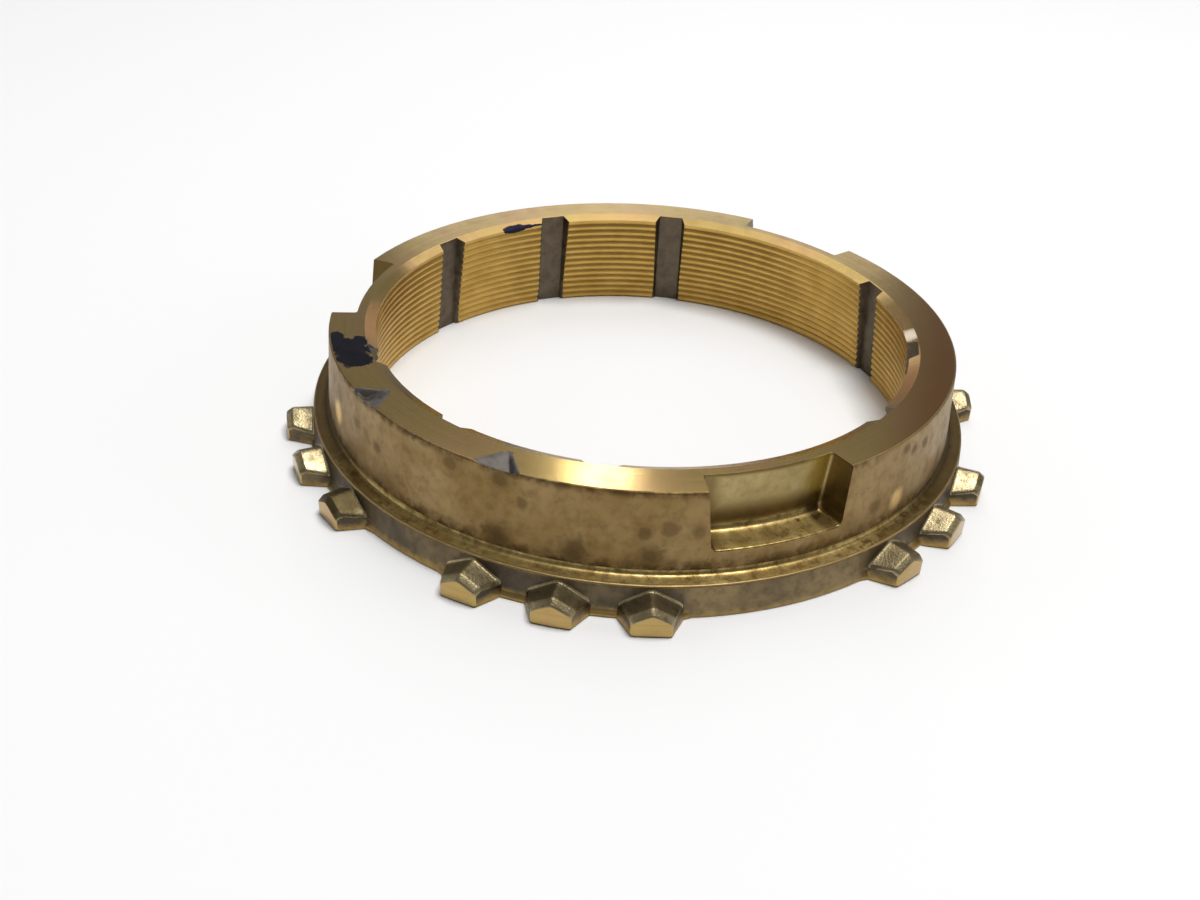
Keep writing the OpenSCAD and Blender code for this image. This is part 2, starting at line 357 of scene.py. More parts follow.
def tooth_flare(radius):
    """Angle of a tooth column at a radius, from its share of the tooth's width there."""
    return np.degrees(np.arcsin(across * tooth_half(radius) / radius)) - off_tooth


radius, z = skin[..., 0], skin[..., 1].copy()
upper = (label <= SLOT_LIP)[:, None]
lower = (label >= RIM_EDGE)[:, None]
lean = slot_lean(off_slot, radius, z)
flare = np.where(lower & in_tooth & (radius > RIM_RADIUS), tooth_flare(radius), 0)
print("slot ends lean by up to", round(np.abs(lean).max(), 2), "degrees")

# %% Fan of the notches
NOTCH_POINT, NOTCH_LENGTH, NOTCH_BASE = 29.5, 2.57, 2.243
NOTCH_SPREAD = 3.0
CHAMFER_FADE = 0.4


def notch_fan(off, radius):
    """Draws the columns together towards the notch's point: their angle shrinks as the notch's width
    does, and spreads out again within three degrees beside it."""
    a = np.abs(off)
    reach = np.clip(radius - NOTCH_POINT, 0.05, WALL_RADIUS - NOTCH_POINT)
    width = NOTCH_BASE / NOTCH_LENGTH * reach
    edge = np.degrees(np.arctan(width / np.minimum(radius, WALL_RADIUS)))
    beside = edge + (a - NOTCH_HALF) * (NOTCH_HALF + NOTCH_SPREAD - edge) / NOTCH_SPREAD
    fanned = np.where(a <= NOTCH_HALF, a / NOTCH_HALF * edge, beside)
    return np.sign(off) * np.where(a <= NOTCH_HALF + NOTCH_SPREAD, fanned, a) - off


off_notch = from_nearest(turns, NOTCHES)
fade = np.clip((radius - CHAMFER_RADIUS) / CHAMFER_FADE, 0, 1)
chamfer_turn = (bore_turn[-1] - turns) * (1 - fade)
top_turn = lean + notch_fan(off_notch, radius) * fade + chamfer_turn
skin_turn = turns + np.where(upper, top_turn, 0) + flare
print("columns turn by up to", round(np.abs(skin_turn - turns).max(), 2), "degrees")

# %% Identification notches pressed into the top face
NOTCH_SLOPES = np.tan(np.radians([25, 65, 50]))
BLEND, LIP = 0.12, 0.14
steep_side = np.where(np.abs(from_nearest(turns, NOTCHES[1:])) < 5 * NOTCH_HALF, 1, -1)
swing = np.radians(steep_side * (off_notch + skin_turn - turns))
u, v = radius * np.cos(swing) - NOTCH_POINT, radius * np.sin(swing)
side_length = np.hypot(NOTCH_BASE, NOTCH_LENGTH)
sides = np.stack([
    (NOTCH_BASE * u + NOTCH_LENGTH * v) / side_length,
    (NOTCH_BASE * u - NOTCH_LENGTH * v) / side_length,
    NOTCH_LENGTH - u,
]) * NOTCH_SLOPES[:, None, None]
low = -BLEND * np.logaddexp.reduce(-sides / BLEND)
soft = np.where(np.abs(low) < LIP, (low + LIP) ** 2 / (4 * LIP), np.clip(low, 0, None))
pit = np.where((label <= TOP_EDGE)[:, None] & (np.abs(off_notch) < 2 * NOTCH_HALF), soft, 0)
sunk_by = np.maximum(z - (HEIGHT - pit), 0) * (pit > 0)
z = z - sunk_by
print("notches are", round(pit.max(), 2), "mm deep")

# %% [markdown]
# ## One closed mesh
# The bore and the outside are laid end to end, so every column is a closed loop, and the last
# column joins the first. The mesh has no seam and no open edge, and each face knows which of the
# forged, turned, threaded, pressed or rubbed surfaces it belongs to.

# %% From the grid to a mesh
FACE_STEPS = ((0, 0), (-1, 0), (-1, -1), (0, -1))


def grid_mesh(name, points, finish):
    """Mesh of a grid that closes both ways: rows run along a section, columns run round the ring."""
    rows, cols = points.shape[:2]
    k, j = np.meshgrid(np.arange(rows), np.arange(cols), indexing="ij")
    k2, j2 = (k + 1) % rows, (j + 1) % cols
    faces = np.stack([k * cols + j, k2 * cols + j, k2 * cols + j2, k * cols + j2], -1).reshape(-1, 4)
    mesh = bpy.data.meshes.new(name)
    mesh.from_pydata((points.reshape(-1, 3) * MM).tolist(), [], faces.tolist())
    mesh.polygons.foreach_set("material_index", finish.ravel().astype(np.int32))
    mesh.polygons.foreach_set("use_smooth", np.ones(len(faces), bool))
    mesh.update()
    return mesh


all_r = np.concatenate([bore[..., 0], radius])
all_z = np.concatenate([bore[..., 1], z])
all_turn = np.radians(np.concatenate([bore_turn, skin_turn]))
points = np.stack([all_r * np.cos(all_turn), all_r * np.sin(all_turn), all_z], -1)
print("grid of", points.shape[0], "by", points.shape[1], "points")

# %% Which finish each face has
FORGED, TURNED, THREADED, GROOVED, PRESSED, SCALED, RUBBED, STRUCK = range(8)
SUNK = 0.002
rows, inner = len(points), len(bore_z)
cone_rows = inner - CHAMFER_ROWS
at = np.concatenate([np.full(inner, -1.0), label])
run = 0.5 * (at + np.append(at[1:], UNDERSIDE))


def ahead(flag):
    """True where a column and the next one both have the flag."""
    return flag & np.roll(flag, -1)


def between(first, last):
    """Rows of faces that lie between two places on the section, counted as the walk labels them."""
    return (run > first) & (run < last)


finish = np.full((rows, columns), FORGED)
finish[:cone_rows] = THREADED
finish[:cone_rows, ahead(in_groove)] = GROOVED
finish[cone_rows:inner] = TURNED
finish[between(CHAMFER_EDGE - 0.8, CHAMFER_EDGE + 0.4)] = TURNED
finish[np.ix_(between(TOP_EDGE - 0.6, SLOT_LIP - 0.4), in_slot | np.roll(in_slot, -1))] = RUBBED
finish[between(WALL_FOOT - 0.7, WALL_FOOT + 0.4)] = RUBBED
finish[np.ix_(between(RIM_EDGE - 0.4, TIP_FOOT - 0.1), ~ahead(in_tooth))] = SCALED
finish[between(RIM_EDGE - 0.4, RIM_EDGE + 0.4)] = SCALED
finish[np.ix_(between(ROOF_FOOT - 0.6, TIP_TOP - 0.3), ahead(in_tooth))] = STRUCK
finish[np.ix_(between(TIP_TOP - 0.4, TIP_TOP + 0.4), ahead(in_tooth))] = TURNED
finish[run > TIP_FOOT - 0.4] = TURNED
sunk = np.concatenate([np.zeros_like(bore_rr), sunk_by]) > SUNK
around = np.stack([np.roll(sunk, s, (0, 1)) for s in FACE_STEPS])
pressed = np.where((run < CHAMFER_EDGE + 0.4)[:, None], around.any(0), around.all(0))
finish[pressed] = PRESSED
print("faces with each finish:", np.bincount(finish.ravel()))


# %% Edges that stay crisp: the chamfer's upper edge, and the rims of the notches
def crisp(mesh, along, across):
    """Marks edges of the grid as sharp: along has those from a point to the next column, across has
    those from a point to the next row. An edge belongs to the one of its two points that comes first."""
    rows, cols = along.shape
    ends = np.zeros(2 * len(mesh.edges), np.int32)
    mesh.edges.foreach_get("vertices", ends)
    (k, k2), (j, j2) = np.divmod(ends.reshape(-1, 2).T, cols)
    same_row = k == k2
    j = np.where(same_row & ((j + 1) % cols != j2), j2, j)
    k = np.where(~same_row & ((k + 1) % rows != k2), k2, k)
    sharp = np.zeros(len(mesh.edges), bool)
    mesh.edges.foreach_get("use_edge_sharp", sharp)
    sharp |= np.where(same_row, along[k, j], across[k, j])
    mesh.edges.foreach_set("use_edge_sharp", sharp)
    return int(sharp.sum())


# %% The ring as an object
SHARP_ANGLE = 40
ring_mesh = grid_mesh("ring", points, finish)
ring_mesh.set_sharp_from_angle(angle=np.radians(SHARP_ANGLE))
along = pressed != np.roll(pressed, 1, 0)
along[inner] = True
print(crisp(ring_mesh, along, pressed != np.roll(pressed, 1, 1)), "sharp edges")
ring = bpy.data.objects.new("ring", ring_mesh)
bpy.context.scene.collection.objects.link(ring)
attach(ring, "root")
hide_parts("synchronizer_ring")
a, b, c, d = (np.roll(points, s, (0, 1)) for s in FACE_STEPS)
volume = (np.cross(b - a, c - a) * a + np.cross(c - a, d - a) * a).sum() / 6
print(2 * rows * columns, "triangles, volume", round(volume, 1), "mm3")

# %% [markdown]
# ## Worn edges and shaded roots
# Handling polishes the outer edges of a forging, and the roots of a thread get painted shade. The
# slots are cleaner in their middle than in their corners, and the rim is cleaner below the slots than
# between the teeth. A shader could guess the first two from the bend of the surface, but the grid
# knows them exactly, so each point carries three numbers: how far it lies on an outer edge, how deep
# it lies in the thread, and how clean it is, which goes up to two at one end of each slot, where a
# painted highlight goes.

# %% Three numbers on every point
WORN = {SLOT_LIP: 0.4, RIM_EDGE: 1.0, ROOF_FOOT: 0.9, BEVEL: 0.6, TIP_TOP: 0.5, TIP_FOOT: 0.6}
RIDGE_WEAR, RIDGE_SHARE = 0.6, 0.2
RIM_CLEAN_END, RIM_CLEAN_FADE = 17, 5
edge = np.zeros((rows, columns))
for corner, strength in WORN.items():
    here = np.flatnonzero(np.isclose(at, corner - 0.5))
    t = np.linspace(0, 1, len(here))
    edge[here] = (strength * 4 * t * (1 - t))[:, None]
edge[np.isclose(at, SLOT_LIP - 0.5)] *= in_slot
edge[(at > RIM_EDGE) & (at < TIP_FOOT)] *= in_tooth
tooth_rows = (at >= ROOF_FOOT) & (at < TIP_FOOT)
edge[tooth_rows] = np.maximum(edge[tooth_rows], np.where(in_tooth, blunt / TOOTH_EDGE, 0))
ridge = np.isclose(at, ROOF_FOOT) | np.isclose(at, BEVEL - 0.5)
ridge_wear = np.clip(RIDGE_WEAR - np.abs(across) / RIDGE_SHARE, 0, 1) * in_tooth
edge[ridge] = np.maximum(edge[ridge], ridge_wear)
deep = np.zeros((rows, columns))
deep[len(mouth_z) + 1:cone_rows:3] = 1
rim_clean = np.where(in_tooth, 0, np.clip((RIM_CLEAN_END - np.abs(off_slot)) / RIM_CLEAN_FADE, 0, 1))
# Above one, at one end of each slot, the value places a painted highlight in the rubbed brass.
slot_clean_and_sheen = np.interp(off_slot, [-11.6, -6, 7.6, 8.6, 11.7, 12.2], [0, 1, 1, 1.8, 2, 0])
foot_clean = np.where(at[:, None] <= WALL_FOOT, 1, rim_clean)
clean_and_sheen = np.where(at[:, None] <= SLOT_LIP, slot_clean_and_sheen, foot_clean)
for name, values in (("edge", edge), ("deep", deep), ("clean_and_sheen", clean_and_sheen)):
    layer = ring_mesh.attributes.new(name, "FLOAT", "POINT")
    layer.data.foreach_set("value", values.ravel().astype(np.float32))
    print(name, "reaches", round(values.max(), 2), "on", int((values > 0.5).sum()), "points")

# %% [markdown]
# ## Finishes
# All of the ring is the same brass, a copper and zinc alloy, and what differs is how each surface
# was made. So the finishes share their tools: a function that turns a colour as a paint chart gives
# it into the light values that Blender works with, one that adds a node, and one that gives the
# place on the ring in millimetres, so that every pattern can be set to a real size. Some inputs go
# by number: 0 is a node's first one, 1 to 4 of a Map Range node are the span that comes in and the
# span that goes out, and 6 and 7 of a Mix node are its two colours.


# %% Tools for the finishes
def linear(code):
    """sRGB hex to linear red, green, blue and alpha."""
    c = np.array([int(code[i:i + 2], 16) for i in (1, 3, 5)]) / 255
    c = np.where(c <= 0.04045, c / 12.92, ((c + 0.055) / 1.055) ** 2.4)
    return (*c.tolist(), 1.0)


QUARTER_TURN = 0.25
SOFT = {"interpolation_type": "SMOOTHSTEP"}
COLOUR = {"data_type": "RGBA", "out": 2}


def add(tree, kind, wires=None, out=0, **settings):
    """Adds a node and gives back one of its outputs. The settings go on the node itself; wires gives an
    input, by its name or number, a value or another node's output."""
    made = tree.nodes.new("ShaderNode" + kind)
    for key, value in settings.items():
        setattr(made, key, value)
    for key, value in (wires or {}).items():
        if isinstance(value, bpy.types.NodeSocket):
            tree.links.new(value, made.inputs[key])
        else:
            made.inputs[key].default_value = value
    return made.outputs[out]


def new_finish(name, anisotropic=0):
    """A metal with its shader and the place on it in millimetres. Where the finish has tool marks, the
    tangent runs round the axis, as the axis crossed with the place, and a quarter turn of it stretches
    the shine across the marks, as fine rings do."""
    material = bpy.data.materials.new(name)
    material.use_nodes = True
    tree = material.node_tree
    shader = tree.nodes["Principled BSDF"]
    shader.inputs["Metallic"].default_value = 1
    where = add(tree, "TexCoord", out="Object")
    place = add(tree, "VectorMath", {0: where, 1: (1 / MM, 1 / MM, 1 / MM)}, operation="MULTIPLY")
    if anisotropic:
        shader.inputs["Anisotropic"].default_value = anisotropic
        shader.inputs["Anisotropic Rotation"].default_value = QUARTER_TURN
        around = add(tree, "VectorMath", {0: (0, 0, 1), 1: place}, operation="CROSS_PRODUCT")
        around = add(tree, "VectorMath", {0: around}, operation="NORMALIZE")
        tree.links.new(around, shader.inputs["Tangent"])
    return tree, shader, place


def dress(tree, shader, colour, dull, normal):
    """Links a colour, a roughness and a bumped normal to the shader."""
    for name, made in (("Base Color", colour), ("Roughness", dull), ("Normal", normal)):
        tree.links.new(made, shader.inputs[name])


# %% [markdown]
# ## Forged skin
# The outer wall keeps the skin from the die: satin, a little uneven, gone brown in the air and
# stained where drops of oil dried. Painted glints stand for lamps reflected in a few places, and
# painted shade draws a dark, broken line along its foot and, at the front, under the top edge. One
# flat brown would look like plastic, so two browns are clouded together, the drops, the shaded lines
# and the glints are put where they lie on the wall, and a fine grain breaks up the shine.

# %% Dried drops, and painted glints, on the wall: angle, height, half width, strength
DROPS = [
    (276.9, 10.3, 0.9, 0.55), (285.9, 10.5, 1.1, 0.6), (285.7, 4.9, 1.4, 0.7), (298.0, 5.0, 1.35, 0.65),
    (289.7, 8.7, 0.6, 0.5), (259.9, 7.7, 0.7, 0.6), (253.1, 8.3, 0.8, 0.5), (244.8, 9.1, 0.9, 0.4),
    (308.5, 7.5, 0.8, 0.55), (312.5, 7.9, 0.85, 0.5), (316.7, 7.6, 0.8, 0.45), (309.5, 5.2, 1.2, 0.6),
    (355.6, 10.4, 0.7, 0.6), (358.4, 9.8, 0.6, 0.65), (2.2, 9.5, 0.7, 0.65), (10.4, 5.8, 1.0, 0.5),
    (348.6, 6.0, 0.9, 0.5), (20.0, 8.0, 0.9, 0.6), (45.0, 6.2, 1.3, 0.7), (62.0, 9.0, 0.7, 0.6),
    (118.0, 5.4, 1.2, 0.7), (140.0, 8.3, 0.8, 0.6), (163.0, 6.8, 1.4, 0.7), (188.0, 9.4, 0.7, 0.5),
]
PAINTED_GLINTS = [(354.3, 5.5, 1.1, 0.75), (243.6, 6.6, 1.3, 1.0), (151.0, 6.0, 0.9, 0.7), (70.5, 5.1, 0.8, 0.7)]


def spots(tree, place, ragged, marks, out=0):
    """How much of a place the marks cover: each falls off with the distance from its middle, which lies
    on the wall or so far out from it, a noise makes its edge ragged, and the strongest mark counts."""
    cover = None
    for turn, z, half, strength in marks:
        wall = wall_radius(z) + out
        middle = (wall * np.cos(np.radians(turn)), wall * np.sin(np.radians(turn)), z)
        away = add(tree, "VectorMath", {0: place, 1: middle}, operation="DISTANCE", out="Value")
        share = add(tree, "Math", {0: away, 1: 1 / half, 2: ragged}, operation="MULTIPLY_ADD")
        mark = add(tree, "MapRange", {0: share, 1: 1.25, 2: 0.35, 4: strength}, **SOFT)
        cover = mark if cover is None else add(tree, "Math", {0: cover, 1: mark}, operation="MAXIMUM")
    return cover


# %% Colour of the skin
FRONT = (0.438, -0.899, 0)
forged, shader, place = new_finish("forged_brass_skin")
height_mm = add(forged, "SeparateXYZ", {0: place}, out=2)
clouds = add(forged, "TexNoise", {0: place, "Scale": 1 / 7, "Detail": 4, "Roughness": 0.6})
mottle = add(forged, "TexNoise", {0: place, "Scale": 1 / 1.1, "Detail": 5, "Roughness": 0.65})
grain = add(forged, "TexNoise", {0: place, "Scale": 1 / 0.16, "Detail": 2, "Roughness": 0.6})
brown = add(forged, "MapRange", {0: clouds, 1: 0.35, 2: 0.65}, **SOFT)
colour = add(forged, "Mix", {0: brown, 6: linear("#8a7046"), 7: linear("#9d855c")}, **COLOUR)
fleck = add(forged, "MapRange", {0: mottle, 1: 0.46, 2: 0.72, 4: 0.5})
ragged = add(forged, "MapRange", {0: mottle, 1: 0.2, 2: 0.8, 3: -0.85, 4: 0.85})
stain_and_shade = spots(forged, place, ragged, DROPS)
# Painted shade: a dark band under the top edge, at the front only, and a dark, broken line along the foot of
# the wall; both join the dried drops.
brim_shade = add(forged, "MapRange", {0: height_mm, 1: 10.7, 2: 11.2, 4: 0.8})
front = add(forged, "VectorMath", {0: place, 1: FRONT}, operation="DOT_PRODUCT", out="Value")
front = add(forged, "MapRange", {0: front, 1: 18, 2: 23})
brim_shade = add(forged, "Math", {0: brim_shade, 1: front}, operation="MULTIPLY")
foot = add(forged, "MapRange", {0: height_mm, 1: 4.9, 2: 3.9, 4: 0.9})
line = add(forged, "Math", {0: brim_shade, 1: foot}, operation="MAXIMUM")
broken = add(forged, "MapRange", {0: mottle, 1: 0.32, 2: 0.58})
line = add(forged, "Math", {0: line, 1: broken}, operation="MULTIPLY")
stain_and_shade = add(forged, "Math", {0: stain_and_shade, 1: line}, operation="MAXIMUM")
# Painted glints: pale, smoother spots where lamps would be reflected on the wall.
smooth = add(forged, "Math", {0: ragged, 1: 0.2}, operation="MULTIPLY")
painted_glint = spots(forged, place, smooth, PAINTED_GLINTS)
worn_edge = add(forged, "Attribute", attribute_name="edge", out="Fac")
rub = add(forged, "Math", {0: worn_edge, 1: mottle}, operation="MULTIPLY")
rub = add(forged, "MapRange", {0: rub, 1: 0.15, 2: 0.6, 4: 0.75})
for cover, code in ((fleck, "#735c36"), (stain_and_shade, "#58452a"), (painted_glint, "#f4d090"), (rub, "#c2a873")):
    colour = add(forged, "Mix", {0: cover, 6: colour, 7: linear(code)}, **COLOUR)
print(len(DROPS), "dried drops,", len(PAINTED_GLINTS), "bare spots on the wall")

# %% Shine and grain of the skin
dull = add(forged, "MapRange", {0: mottle, 1: 0.3, 2: 0.7, 3: 0.4, 4: 0.54})
for mark, change in ((stain_and_shade, 0.14), (rub, -0.15), (painted_glint, -0.06)):
    dull = add(forged, "Math", {0: mark, 1: change, 2: dull}, operation="MULTIPLY_ADD")
uneven = add(forged, "Bump", {"Height": mottle, "Strength": 0.5, "Distance": 0.03 * MM})
rough = add(forged, "Bump", {"Height": grain, "Strength": 0.6, "Distance": 0.012 * MM, "Normal": uneven})
dress(forged, shader, colour, dull, rough)
print(len(forged.nodes), "nodes in the forged skin")

# %% [markdown]
# ## Rubbed slots and foot
# The keys slide in the slots and the sleeve runs past the foot of the wall, so the skin is rubbed
# away there: the brass is yellower and smoother, and its fillets draw bright lines. Brown film stays
# in patches, in the corners and low on the back wall of a slot. Painted shade darkens a band under
# its top edge, and dark film together with painted shade covers the sides of the ring away from the
# front. So a film is mixed in by noise, by height and by side. One end of each slot has a painted
# highlight above and is grimy below, and the back wall has gone a little grey. Faces that lie level
# and have no film collect grit and are duller, which the way a face looks tells.

# %% Colour of the rubbed brass
FRONT_CLEAR_OF_FILM_AND_SHADE = (0.574, -0.819, 0)
rubbed, shader, place = new_finish("rubbed_brass")
height_mm = add(rubbed, "SeparateXYZ", {0: place}, out=2)
clouds = add(rubbed, "TexNoise", {0: place, "Scale": 1 / 4, "Detail": 4, "Roughness": 0.6})
mottle = add(rubbed, "TexNoise", {0: place, "Scale": 1 / 0.9, "Detail": 5, "Roughness": 0.65})
grain = add(rubbed, "TexNoise", {0: place, "Scale": 1 / 0.16, "Detail": 2})
bright = add(rubbed, "MapRange", {0: clouds, 1: 0.35, 2: 0.65}, **SOFT)
colour = add(rubbed, "Mix", {0: bright, 6: linear("#a48b54"), 7: linear("#c0a96f")}, **COLOUR)
grey = add(rubbed, "MapRange", {0: height_mm, 1: 6.6, 2: 8.2, 4: 0.55})
above = add(rubbed, "MapRange", {0: height_mm, 1: 6.0, 2: 6.7}, **SOFT)
below = add(rubbed, "MapRange", {0: height_mm, 1: 9.0, 2: 6.9, 4: 0.8}, **SOFT)
low = add(rubbed, "Math", {0: above, 1: below}, operation="MULTIPLY")
calm = add(rubbed, "MapRange", {0: height_mm, 1: 6.0, 2: 6.7, 3: 0.85, 4: 0.25})
film = add(rubbed, "MapRange", {0: mottle, 1: 0.4, 2: 0.68, 4: calm})
# Painted shade: a dark band under the top edge.
brim_shade = add(rubbed, "MapRange", {0: height_mm, 1: 10.9, 2: 11.25, 4: 0.8})
clean_and_sheen = add(rubbed, "Attribute", attribute_name="clean_and_sheen", out="Fac")
corner = add(rubbed, "Math", {0: clouds, 1: clean_and_sheen}, operation="SUBTRACT")
corner = add(rubbed, "MapRange", {0: corner, 1: 0.0, 2: 0.35, 4: 0.6})
# Painted highlight: the upper part of one end of each slot, where the value goes from one to two, is mixed
# towards pale yellow; the lower part of that end is grimy.
sheen_end = add(rubbed, "MapRange", {0: clean_and_sheen, 1: 1, 2: 2})
high = add(rubbed, "MapRange", {0: height_mm, 1: 7.2, 2: 8.4}, **SOFT)
shine = add(rubbed, "Math", {0: sheen_end, 1: high}, operation="MULTIPLY")
grime = add(rubbed, "Math", {0: sheen_end, 1: shine}, operation="SUBTRACT")
grime = add(rubbed, "Math", {0: grime, 1: mottle}, operation="MULTIPLY")
grime = add(rubbed, "MapRange", {0: grime, 1: 0.1, 2: 0.4, 4: 0.8})
# Dark film together with painted shade on the sides away from the front.
front = add(rubbed, "VectorMath", {0: place, 1: FRONT_CLEAR_OF_FILM_AND_SHADE}, operation="DOT_PRODUCT", out="Value")
side = add(rubbed, "Math", {0: mottle, 1: 16, 2: front}, operation="MULTIPLY_ADD")
side = add(rubbed, "MapRange", {0: side, 1: 34, 2: 25, 4: 0.88}, **SOFT)
for more in (brim_shade, low, corner, grime, side):
    film = add(rubbed, "Math", {0: film, 1: more}, operation="MAXIMUM")
shine = add(rubbed, "MapRange", {0: shine, 4: 0.75})
for cover, code in ((grey, "#9e9068"), (film, "#584322"), (shine, "#d6ba5c")):
    colour = add(rubbed, "Mix", {0: cover, 6: colour, 7: linear(code)}, **COLOUR)
print(len(rubbed.nodes), "nodes for the colour of the rubbed brass")

# %% Shine and grain of the rubbed brass
dull = add(rubbed, "MapRange", {0: mottle, 1: 0.3, 2: 0.7, 3: 0.27, 4: 0.42})
facing = add(rubbed, "NewGeometry", out="Normal")
level = add(rubbed, "SeparateXYZ", {0: facing}, out=2)
level = add(rubbed, "Math", {0: level, 1: side}, operation="SUBTRACT")
level = add(rubbed, "MapRange", {0: level, 1: 0.9, 2: 0.99, 4: 0.2})
dull = add(rubbed, "Math", {0: dull, 1: level}, operation="ADD")
uneven = add(rubbed, "Bump", {"Height": mottle, "Strength": 0.5, "Distance": 0.025 * MM})
rough = add(rubbed, "Bump", {"Height": grain, "Strength": 0.4, "Distance": 0.008 * MM, "Normal": uneven})
dress(rubbed, shader, colour, dull, rough)
print(len(rubbed.nodes), "nodes in the rubbed brass")

# %% [markdown]
# ## Struck tooth roofs
# The roofs of the teeth were struck in a cold die. That leaves a hard, grainy face that glitters:
# each grain of the skin throws its own small reflection. A strong fine bump on a fairly smooth
# metal does that; the real grain is too fine to be drawn, so it is a little coarser here. The struck
# edges are rubbed pale, and a few roofs are darkened by tarnish together with painted shade.

# %% Roofs
TARNISH_AND_SHADE = [
    (256.7, 2.2, 4.0, 1.0), (350.0, 2.2, 2.6, 0.65), (3.3, 2.2, 2.4, 0.35), (296.7, 2.2, 2.4, 0.75),
    (110.0, 2.2, 2.4, 0.7), (283.3, 2.2, 2.4, 0.55), (310.0, 2.2, 2.4, 0.65),
]
WALL_TO_ROOF = 2.8
struck, shader, place = new_finish("struck_brass_roof")
mottle = add(struck, "TexNoise", {0: place, "Scale": 1 / 1.3, "Detail": 5, "Roughness": 0.65})
grain = add(struck, "TexNoise", {0: place, "Scale": 1 / 0.19, "Detail": 3, "Roughness": 0.6})
ragged = add(struck, "MapRange", {0: mottle, 1: 0.2, 2: 0.8, 3: -0.3, 4: 0.3})
# Tarnish together with painted shade on a few roofs.
tarnish_and_shade = spots(struck, place, ragged, TARNISH_AND_SHADE, WALL_TO_ROOF)
film = add(struck, "MapRange", {0: mottle, 1: 0.36, 2: 0.66, 4: 0.8})
film = add(struck, "Math", {0: film, 1: tarnish_and_shade}, operation="MAXIMUM")
colour = add(struck, "Mix", {0: film, 6: linear("#b3a480"), 7: linear("#51472f")}, **COLOUR)
worn_edge = add(struck, "Attribute", attribute_name="edge", out="Fac")
rub = add(struck, "Math", {0: worn_edge, 1: grain}, operation="MULTIPLY")
rub = add(struck, "MapRange", {0: rub, 1: 0.3, 2: 0.6, 4: 0.8})
colour = add(struck, "Mix", {0: rub, 6: colour, 7: linear("#cbb788")}, **COLOUR)
dull = add(struck, "MapRange", {0: mottle, 1: 0.3, 2: 0.7, 3: 0.28, 4: 0.4})
dull = add(struck, "Math", {0: tarnish_and_shade, 1: 0.15, 2: dull}, operation="MULTIPLY_ADD")
uneven = add(struck, "Bump", {"Height": mottle, "Strength": 0.5, "Distance": 0.04 * MM})
rough = add(struck, "Bump", {"Height": grain, "Strength": 1, "Distance": 0.04 * MM, "Normal": uneven})
dress(struck, shader, colour, dull, rough)
print(len(struck.nodes), "nodes in the struck roofs")

# %% [markdown]
# ## Turned faces
# The top face, the chamfer and the tooth tips were turned, and the tool left fine rings round the
# axis. Such rings stretch a reflection across themselves, which gives the bright fan across the
# face that turns with the light. An anisotropic shader does that. It stretches its shine along the
# tangent, which runs round the axis here, so it gets a quarter turn, and a bump along the radius
# draws the rings that the eye can still see. On one side the face has a painted reflection, a redder
# brown. The chamfer is soiled in two places and has a painted glint: a nearly white, rougher patch.

# %% Marker ink on the top face and on the chamfer: middle, half sizes, turn about the axis
INK = [
    ((-16.54, -25.27, 11.4), (1.95, 1.75, 1.2), -33), ((-14.5, -26.37, 11.4), (1.8, 1.7, 1.2), -29),
    ((-18.75, -25.06, 11.4), (1.5, 0.8, 1.2), -37), ((-16.82, -23.75, 11.4), (1.05, 0.8, 1.2), -35),
    ((-14.78, -24.02, 11.4), (1.1, 0.6, 1.2), -32), ((-13.87, -27.77, 11.4), (0.5, 0.14, 1.2), 64),
    ((-26.1, 8.8, 10.86), (0.75, 1.6, 0.48), 161), ((-25.7, 9.9, 10.93), (0.7, 1.4, 0.22), 159),
    ((-25.2, 10.9, 10.95), (0.8, 2.1, 0.09), 157),
]


def ink_mask(tree, place):
    """How much ink lies on a place: each mark is an ellipsoid, whose edge a noise of about a millimetre
    makes ragged, and the strongest mark counts."""
    fray = add(tree, "TexNoise", {0: place, "Scale": 1 / 0.9, "Detail": 3, "Roughness": 0.6})
    fray = add(tree, "MapRange", {0: fray, 1: 0.2, 2: 0.8, 3: -0.3, 4: 0.3})
    ink = None
    for middle, half, turn in INK:
        wires = {"Vector": place, "Location": middle, "Rotation": (0, 0, np.radians(turn)), "Scale": half}
        mark = add(tree, "Mapping", wires, vector_type="TEXTURE")
        away = add(tree, "VectorMath", {0: mark}, operation="LENGTH", out="Value")
        away = add(tree, "Math", {0: away, 1: fray}, operation="ADD")
        wet = add(tree, "MapRange", {0: away, 1: 1.06, 2: 0.94})
        ink = wet if ink is None else add(tree, "Math", {0: ink, 1: wet}, operation="MAXIMUM")
    return ink


# %% Colour of the turned faces
# Painted glint on the chamfer: angle, height, half width, strength.
CHAMFER_GLINT = [(37.0, 11.1, 1.3, 1.0)]
SOILED = [(14.0, 11.1, 6.0, 0.85), (228.0, 11.1, 7.0, 0.7)]
WALL_TO_CHAMFER = -4.05
WARM_REFLECTION_SIDE = (0.91, 0.41, 2)
turned, shader, place = new_finish("turned_brass_face", 0.62)
height_mm = add(turned, "SeparateXYZ", {0: place}, out=2)
level = add(turned, "VectorMath", {0: place, 1: (1, 1, 0)}, operation="MULTIPLY")
radius_mm = add(turned, "VectorMath", {0: level}, out="Value", operation="LENGTH")
across_rings = add(turned, "Math", {0: radius_mm, 1: height_mm}, operation="ADD")
rings = add(turned, "TexNoise", {"W": across_rings, "Scale": 1 / 0.3, "Detail": 2}, noise_dimensions="1D")
bands = add(turned, "TexNoise", {"W": across_rings, "Scale": 1 / 1.1, "Detail": 1}, noise_dimensions="1D")
tint = add(turned, "TexNoise", {0: place, "Scale": 1 / 9, "Detail": 3})
cloud = add(turned, "TexNoise", {0: place, "Scale": 1 / 2.2, "Detail": 4, "Roughness": 0.6})
